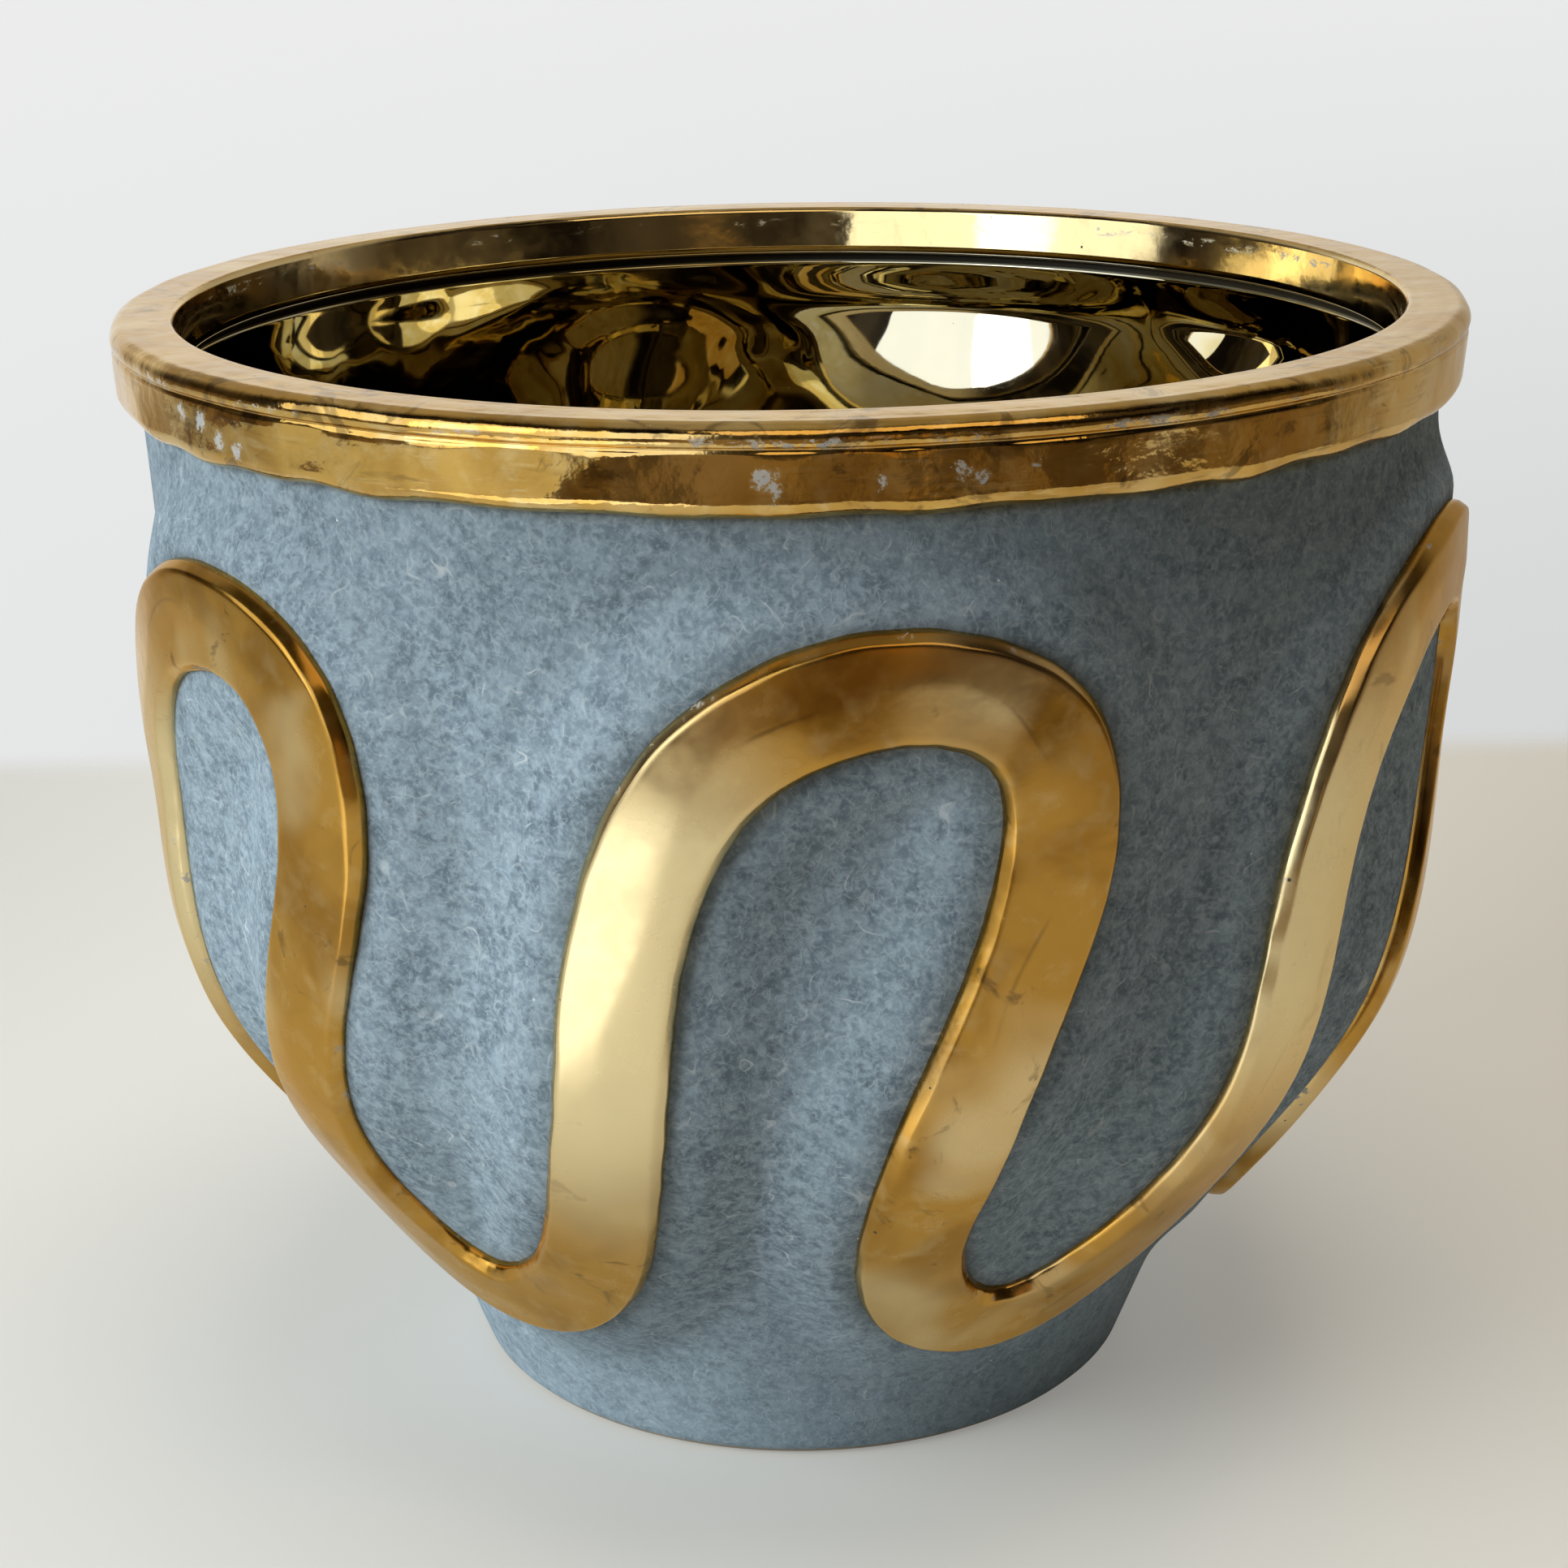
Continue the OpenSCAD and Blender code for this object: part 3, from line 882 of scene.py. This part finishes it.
def rim_profile(skirt_r, flare_r, crease_z):
    """Radius and height round the rim's section, from its lower lip out, over the top and back inside."""
    head_z = TENON_TOP + HEAD_GAP
    top_in = flare_r + MOUTH_ROUND
    top_out = RIM_R - ROLL_R
    face_r = RIM_R - FACE_INSET
    face_high = crease_z - CREASE_H
    face_low = NECK_Z + LIP_ROUND
    along = np.linspace(0, 1, RIM_FACE_ROWS)
    across_top = np.linspace(0, 1, RIM_TOP_ROWS)[1:-1]
    crown = CROWN_H * 4 * across_top * (1 - across_top)
    crease = [
        (face_r - CREASE_LOW[0], face_high + CREASE_LOW[1]),
        (RIM_R - CREASE_DEPTH, crease_z),
        (RIM_R - CREASE_HIGH[0], crease_z + CREASE_HIGH[1]),
    ]
    return np.concatenate([
        arc(face_r - FACE_LEAN - LIP_ROUND, NECK_Z + LIP_ROUND, LIP_ROUND, *LIP_TURN),
        np.stack([face_r - FACE_LEAN * (1 - along), face_low + (face_high - face_low) * along], 1),
        crease,
        arc(top_out, POT_H - ROLL_R, ROLL_R, *ROLL_TURN, ROLL_STEPS),
        np.stack([top_out + (top_in - top_out) * across_top, POT_H - CROWN_H + crown], 1),
        arc(top_in, POT_H - MOUTH_ROUND, MOUTH_ROUND, 90, 180),
        np.linspace((flare_r, POT_H - MOUTH_ROUND), (MOUTH_R, head_z), MOUTH_ROWS)[1:],
        [(MOUTH_R + MOUTH_LAND, head_z), (skirt_r, head_z), (skirt_r, NECK_Z)],
    ])


def build_rim(material):
    """Rim collar: a rolled top edge, a fine crease under it, a leaning face and a hand-painted lower edge."""
    skirt_r = TENON_R + SKIRT_GAP
    flare_r = MOUTH_R + MOUTH_FLARE
    crease_z = POT_H - CREASE_DROP
    profile = rim_profile(skirt_r, flare_r, crease_z)
    r, z = profile[:, :1], profile[:, 1:]
    outside = r > skirt_r + TINY
    low = smooth((NECK_Z + SAG_H - z) / SAG_H) * outside
    sag = SAG_DEPTH * ripple(ANGLES, seed=21, waves_round=41)
    lumps = LUMP_DEPTH * ripple(ANGLES, z, seed=23, waves_round=34, wave_up=0.014) * outside
    in_crease = smooth(1 - np.abs(z - crease_z) / CREASE_H) * (r > RIM_R - CREASE_REACH)
    filled = CREASE_FILL * CREASE_DEPTH * smooth(0.5 + ripple(ANGLES, seed=24, waves_round=58))
    rings = polar(ANGLES, r + lumps + in_crease * filled, z + low * sag)
    piece = mesh_object("gold_rim", rings, ring_faces(len(rings), COLUMNS, True), material)
    mouth = smooth((flare_r + MOUTH_BLEND - r) / MOUTH_BLEND)
    add_value(piece, "thin", np.broadcast_to(mouth, rings.shape[:2]))
    return piece


def bend(start, corner, end, steps):
    """Points round a corner, from start to end."""
    t = np.linspace(0, 1, steps + 1)[:, None]
    return curve(t, np.array(start), np.array(corner), np.array(end))


def strip_section():
    """Across and height of the strip's right half, from the middle of its face down to its root."""
    half = STRIP_W / 2
    edge = np.array([half, EDGE_H])
    shelf = np.array([half - BEVEL_W, STRIP_T])
    slope = (edge - shelf) / np.linalg.norm(edge - shelf)
    face_u = np.linspace(0, shelf[0] - SHELF_ROUND, FACE_STEPS + 1)[:-1]
    face = np.stack([face_u, np.full(FACE_STEPS, STRIP_T)], 1)
    turn = bend(shelf - (SHELF_ROUND, 0), shelf, shelf + slope * SHELF_ROUND, SHELF_STEPS)
    brink = bend(edge - slope * BRINK_R, edge, edge - (0, BRINK_R), BRINK_STEPS)
    root = [(half, ROOT_TOP), (half + ROOT_FLARE, -STRIP_ROOT), (half - ROOT_IN, -STRIP_ROOT)]
    return np.concatenate([face, turn, brink, root])


def edge_width(run, slow_seed, fast_seed):
    """Width of one hand-cut half of the strip against its even width, along its run round the pot."""
    slow = WIDTH_STRAY * ripple(run, seed=slow_seed, waves_round=60)
    fast = WIDTH_RAGGED * ripple(run, seed=fast_seed, waves_round=290, terms=16)
    return 1 + slow + fast


def strip_across(u, run):
    """Where each line of the strip's section lies across it, with a hand-cut bevel and width on each side."""
    stray = np.where(u < 0, ripple(run, seed=36, waves_round=70), ripple(run, seed=37, waves_round=70))
    bevel = BEVEL_W * (BEVEL_MEAN + BEVEL_STRAY * stray)
    half = STRIP_W / 2
    shelf = half - BEVEL_W
    out = np.abs(u)
    on_face = out * (half - bevel) / shelf
    on_bevel = half - (half - out) * bevel / BEVEL_W
    wide = np.where(u < 0, edge_width(run, 31, 34), edge_width(run, 32, 35))
    return np.sign(u) * np.where(out < shelf, on_face, on_bevel) * wide


def build_strip(material):
    """The raised strip, swept along its waves: a root in the wall, bevelled edges and a ridged face."""
    count = WAVES * STRIP_STEPS
    t = np.arange(count) * 2 * math.pi / STRIP_STEPS
    run = t / WAVES
    angle, z = wave_angle(t), wave_z(t)
    before, after = t - WAVE_STEP, t + WAVE_STEP
    turn = (wave_angle(after) - wave_angle(before)) / (2 * WAVE_STEP) * wall_radius(z)
    climb = (wave_z(after) - wave_z(before)) / (2 * WAVE_STEP) * slant(z)
    speed = np.hypot(turn, climb)
    right = strip_section()
    left = right[:0:-1] * (-1, 1)
    u, h = np.concatenate([left, right])[:, :, None].transpose(1, 0, 2)
    across = strip_across(u, run)
    from_ridge = across - RIDGE_WANDER * ripple(run, seed=39, waves_round=46)
    ridge = RIDGE_H * (1 - (np.hypot(from_ridge, RIDGE_SOFT) - RIDGE_SOFT) / (STRIP_W / 2))
    lumps = FACE_LUMPS * ripple(run, u, seed=33, waves_round=80, wave_up=0.02)
    lift = np.where(h > EDGE_H, ridge + lumps, 0)
    edge_z = z + across * turn / speed / slant(z)
    edge_angle = angle - across * climb / speed / wall_radius(z)
    rings = wall_point(edge_angle, edge_z, swell_at(edge_z) + h + lift)
    piece = mesh_object("gold_strip", rings, ring_faces(len(rings), count, True), material)
    brink = smooth((np.abs(u) - STRIP_W / 2 + BEVEL_W * BRINK_FROM) / (BEVEL_W * BRINK_OVER))
    add_value(piece, "brink", np.broadcast_to(brink, across.shape))
    from_leg = np.abs(t % (2 * math.pi) - RISING_LEG)
    ragged = THIN_RAGGED * ripple(run, u, seed=38, waves_round=40, wave_up=0.03)
    thin = smooth(THIN_FULL - from_leg / THIN_REACH + ragged)
    add_value(piece, "thin", THIN_MOST * thin)
    add_value(piece, "ridge", RIDGE_MARK + CENTIMETRES * from_ridge)
    return piece


# Table: its edges, the slant from the near edge to the front edge, its colours and where they change
TABLE_GAP = 0.0002
TABLE_GLOW = 0.50
TABLE_BACK = 0.307
TABLE_FADE = 0.014
TABLE_FRONT = -0.38
TABLE_NEAR = -0.80
TABLE_LEFT = -0.85
TABLE_RIGHT = 0.50
TABLE_CUT = (-0.44, -0.28)
TABLE_PALE = (0.510, 0.515, 0.498, 1)
# Painted shade: the table is darker and warmer to the right of the pot
TABLE_WARM_SHADE = (0.425, 0.402, 0.352, 1)
TABLE_GREY = (0.350, 0.354, 0.343, 1)
TABLE_CLOUD = (0.500, 0.494, 0.472, 1)
TABLE_DARK = (0.200, 0.202, 0.196, 1)
TABLE_WARM_SHADE_X = (-0.10, 0.25)
TABLE_GREY_X = (-0.30, -0.05)
TABLE_DARK_X = (-0.80, -0.30)
TABLE_CLOUDS = dict(size=0.3, low=0.3, high=0.7, to_high=0.3)


def build_stage():
    """A pale table, softly lit through, with painted shade darker and warmer to the right, that fades out
    behind the pot.
    """
    g = Surface("pale_table")
    x = g.axis("X")
    layers = (
        (g.fall(x, *TABLE_GREY_X, 0.75), TABLE_GREY),
        (g.patches(**TABLE_CLOUDS), TABLE_CLOUD),
        (g.fall(x, *TABLE_DARK_X, 0.7), TABLE_DARK),
    )
    colour = g.mix(g.fit(x, *TABLE_WARM_SHADE_X), TABLE_PALE, TABLE_WARM_SHADE)
    for place, tone in layers:
        colour = g.mix(place, colour, tone)
    path = g.nodes.new("ShaderNodeLightPath").outputs
    seen = g.most(path["Is Camera Ray"], path["Is Glossy Ray"], path["Is Transmission Ray"])
    g.set(
        Base_Color=colour,
        Roughness=0.55,
        Specular_IOR_Level=0.15,
        Emission_Color=colour,
        Emission_Strength=g.times(seen, TABLE_GLOW),
    )
    far = TABLE_BACK + TABLE_FADE
    g.show_through(g.shader.outputs["BSDF"], g.fit(g.axis("Y"), TABLE_BACK - TABLE_FADE, far))
    outline = [
        (TABLE_LEFT, TABLE_NEAR),
        (TABLE_CUT[0], TABLE_NEAR),
        (TABLE_CUT[1], TABLE_FRONT),
        (TABLE_RIGHT, TABLE_FRONT),
        (TABLE_RIGHT, far),
        (TABLE_LEFT, far),
    ]
    points = np.column_stack([outline, np.full(len(outline), -TABLE_GAP)])
    floor = mesh_object("table_top", points, [tuple(range(len(outline)))], g.material)


# Backdrop, and where it changes along x and z, from -1 to 1
BACKDROP_LEFT = (0.79, 0.80, 0.80, 1)
BACKDROP_RIGHT = (0.66, 0.675, 0.675, 1)
BACKDROP_TOP = (0.845, 0.845, 0.845, 1)
BACKDROP_X = (-0.30, 0.36)
BACKDROP_Z = (-0.32, 0.02)


def build_world():
    """A pale backdrop all round, a little brighter to the left and above."""
    world = bpy.data.worlds.new("backdrop")
    bpy.context.scene.world = world
    world.use_nodes = True
    g = Graph(world.node_tree, "Generated")
    colour = g.mix(g.fit(g.axis("X"), *BACKDROP_X), BACKDROP_LEFT, BACKDROP_RIGHT)
    colour = g.mix(g.fit(g.axis("Z"), *BACKDROP_Z), colour, BACKDROP_TOP)
    g.links.new(colour, g.nodes["Background"].inputs["Color"])


# Dim screens: a ball of radius SCREEN_R with soft upright folds, dark above and lighter below
SCREEN_R = 4.0
SCREEN_TILT = 89
ROOM_LOW = ((0.110, 0.078, 0.046, 1), (0.250, 0.180, 0.110, 1))
ROOM_HIGH = ((0.008, 0.006, 0.005, 1), (0.060, 0.046, 0.030, 1))
ROOM_AMBER = (0.48, 0.27, 0.085, 1)
ROOM_FRONT = (0.300, 0.215, 0.130, 1)
ROOM_BACK = (0.44, 0.40, 0.34, 1)
ROOM_TOP = (0.36, 0.33, 0.28, 1)
FOLDS = dict(
    size=0.20, low=0.40, high=0.62,
    offset=(0.3, 0.6, 0.1), scale=(1 / SCREEN_R, 1 / SCREEN_R, 0.3 / SCREEN_R),
)

# Where the screens' colours change and where they open, from -1 to 1 along x, y and z
HIGH_Z = (-0.12, 0.10)
AMBER_X = dict(centre=0.25, inner=0.05, outer=0.13)
AMBER_Z = dict(centre=-0.03, inner=0.13, outer=0.19)
AMBER_Y = (-0.5, -0.3)
FRONT_X = dict(centre=-0.16, inner=0.14, outer=0.24, height=0.8)
FRONT_Z = (-0.10, 0.0)
BACK_X = (-0.92, -0.64)
BACK_Y = (0.0, 0.40)
TOP_Z = (0.80, 0.98)
OPEN_LEFT_X = (-0.78, -0.56)
OPEN_RIGHT_X = (0.10, 0.44)
OPEN_Y = (0.15, 0.70)
OPEN_Z = (0.26, 0.46)


def build_screens():
    """Dim screens round the front, the sides and the top, open to the backdrop behind the pot."""
    g = Surface("dim_screens")
    x, y, z = (g.math("DIVIDE", g.axis(name), SCREEN_R) for name in "XYZ")
    folds = g.patches(**FOLDS)
    colour = g.mix(g.fit(z, *HIGH_Z), g.mix(folds, *ROOM_LOW), g.mix(folds, *ROOM_HIGH))
    panels = (
        (g.times(g.band(x, **AMBER_X), g.band(z, **AMBER_Z), g.fall(y, *AMBER_Y)), ROOM_AMBER),
        (g.times(g.band(x, **FRONT_X), g.fall(z, *FRONT_Z)), ROOM_FRONT),
        (g.times(g.fit(y, *BACK_Y), g.fit(x, *BACK_X)), ROOM_BACK),
        (g.fit(z, *TOP_Z), ROOM_TOP),
    )
    for place, tone in panels:
        colour = g.mix(place, colour, tone)
    glow = g.nodes.new("ShaderNodeEmission")
    g.feed(glow.inputs["Color"], colour)
    opening = g.times(g.fit(y, *OPEN_Y), g.fall(z, *OPEN_Z))
    opening = g.times(opening, g.times(g.fit(x, *OPEN_LEFT_X), g.fall(x, *OPEN_RIGHT_X)))
    g.show_through(glow.outputs["Emission"], opening)
    g.material.cycles.emission_sampling = "NONE"
    turns = np.arange(SCREEN_COLUMNS) * 2 * math.pi / SCREEN_COLUMNS
    tilts = np.radians(np.linspace(-SCREEN_TILT, SCREEN_TILT, SCREEN_ROWS))[:, None]
    rings = polar(turns, SCREEN_R * np.cos(tilts), SCREEN_R * np.sin(tilts))
    screens = mesh_object("dim_screens", rings, ring_faces(len(rings), SCREEN_COLUMNS, False), g.material)
    screens.visible_camera = False


# Lamps
WINDOW_AT = (-1.24, -0.65, 0.66)
SIDE_AT = (-0.84, -1.16, 0.46)
TABLE_CARD_AT = (-0.20, -0.27, 0.001)
TABLE_CARD_TO = (-0.20, -0.27, 1.0)
BOARD_AT = (0.35, -0.95, 1.15)
CEILING_AT = (0.10, -0.02, 1.5)
DAYLIGHT = (0.93, 0.99, 1.0)
CARD_WHITE = (0.96, 0.99, 1.0)
TABLE_CARD_WHITE = (0.97, 0.99, 1.0)
BOARD_AMBER = (1.0, 0.76, 0.44)
CEILING_WARM = (1.0, 0.94, 0.86)


def soft_light(name, place, target, size, power, colour):
    light = bpy.data.lights.new(name, "AREA")
    light.shape = "RECTANGLE"
    light.size, light.size_y = size
    light.energy = power
    light.color = colour
    lamp = bpy.data.objects.new(name, light)
    lamp.location = place
    lamp.rotation_euler = (Vector(target) - Vector(place)).to_track_quat("-Z", "Y").to_euler()
    bpy.context.scene.collection.objects.link(lamp)
    return lamp


def build_lamps():
    """The window and the ceiling light the pot, and the cards and the board are only mirrored in its gold."""
    window = soft_light("window", WINDOW_AT, (0, 0, 0.08), size=(1.0, 1.0), power=25, colour=DAYLIGHT)
    window.visible_glossy = False
    for name, place in (("window_card", WINDOW_AT), ("side_card", SIDE_AT)):
        card = soft_light(name, place, (0, 0, 0.06), size=(1.2, 1.0), power=6.0, colour=CARD_WHITE)
        card.visible_diffuse = False
    bounce = soft_light(
        "table_card", TABLE_CARD_AT, TABLE_CARD_TO, size=(0.16, 0.22), power=0.13, colour=TABLE_CARD_WHITE
    )
    bounce.visible_diffuse = False
    bounce.visible_camera = False
    board = soft_light("warm_board", BOARD_AT, (0, 0, 0.15), size=(1.3, 0.6), power=3.0, colour=BOARD_AMBER)
    board.visible_diffuse = False
    ceiling = soft_light("ceiling", CEILING_AT, (0, 0, 0), size=(1.0, 0.7), power=12, colour=CEILING_WARM)
    ceiling.visible_glossy = False


# The photograph's camera, fitted to the rim, mouth and foot
PHOTO_PX = 1932
FOCAL_PX = 3670
SENSOR_MM = 36
CAMERA_AT = (-0.002, -0.470, 0.251)
CAMERA_PITCH = 0.3229
CAMERA_ROLL = -0.0159
CLIP_START = 0.01


def build_camera():
    data = bpy.data.cameras.new("camera")
    data.sensor_width = SENSOR_MM
    data.lens = data.sensor_width * FOCAL_PX / PHOTO_PX
    data.clip_start = CLIP_START
    camera = bpy.data.objects.new("camera", data)
    tilt = Matrix.Rotation(math.pi / 2 - CAMERA_PITCH, 4, "X")
    camera.matrix_world = Matrix.Translation(CAMERA_AT) @ tilt @ Matrix.Rotation(CAMERA_ROLL, 4, "Z")
    bpy.context.scene.collection.objects.link(camera)
    bpy.context.scene.camera = camera


build_camera()
build_stage()
build_world()
build_screens()
build_lamps()

# Gold
GOLD_EDGE = (1.0, 0.80, 0.50, 1)
WHITE_EDGE = (1.0, 0.92, 0.78, 1)
GREY_GLAZE = (0.40, 0.425, 0.45, 1)
# Colour of the painted shade in the groove under the rim
DARK_PAINTED_SHADE = (0.016, 0.012, 0.009, 1)
STRIP_GOLD = gold(
    "strip_lustre",
    tones=((0.35, 0.175, 0.020, 1), (0.49, 0.265, 0.040, 1), (0.80, 0.67, 0.38, 1)),
    edge=GOLD_EDGE,
    rough=(0.19, 0.28),
    hazy=0.2,
    dent_size=0.009,
    dent_depth=0.00012,
    coat=0.32,
    stain_from=0.61,
    scratched=0.0,
    wear_and_shade=strip_wear,
    bared_and_shade=GREY_GLAZE,
    bared_gloss=0.5,
)
RIM_GOLD = gold(
    "rim_lustre",
    tones=((0.50, 0.29, 0.060, 1), (0.66, 0.41, 0.10, 1), (0.80, 0.64, 0.33, 1)),
    edge=WHITE_EDGE,
    rough=(0.06, 0.14),
    hazy=0.5,
    dent_size=0.006,
    dent_depth=0.00030,
    coat=0.25,
    stain_from=0.57,
    scratched=0.42,
    wear_and_shade=rim_wear,
    bared_and_shade=GREY_GLAZE,
    bared_gloss=0.5,
)
INSIDE_GOLD = gold(
    "inside_lustre",
    tones=((0.46, 0.37, 0.16, 1), (0.54, 0.45, 0.23, 1), (0.66, 0.65, 0.55, 1)),
    edge=WHITE_EDGE,
    rough=(0.02, 0.04),
    hazy=0.5,
    dent_size=0.030,
    dent_depth=0.00006,
    coat=0.0,
    stain_from=0.66,
    scratched=0.0,
    # The groove under the rim gets a dark painted shade line
    wear_and_shade=groove_painted_shade,
    bared_and_shade=DARK_PAINTED_SHADE,
    bared_gloss=0.04,
)

wall = build_wall(clay_material())
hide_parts("wall")

strip = build_strip(STRIP_GOLD)
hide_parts(*[f"ribbon_{i + 1}" for i in range(WAVES)])

rim = build_rim(RIM_GOLD)
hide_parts("rim_collar")

lining = build_lining(INSIDE_GOLD)
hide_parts("gold_lining")

for piece in (wall, strip, rim, lining):
    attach(piece, "root")

floor_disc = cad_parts["floor_disc"]
floor_disc.data.materials.clear()
floor_disc.data.materials.append(bare_clay_material())

bpy.context.scene.view_settings.view_transform = "Standard"
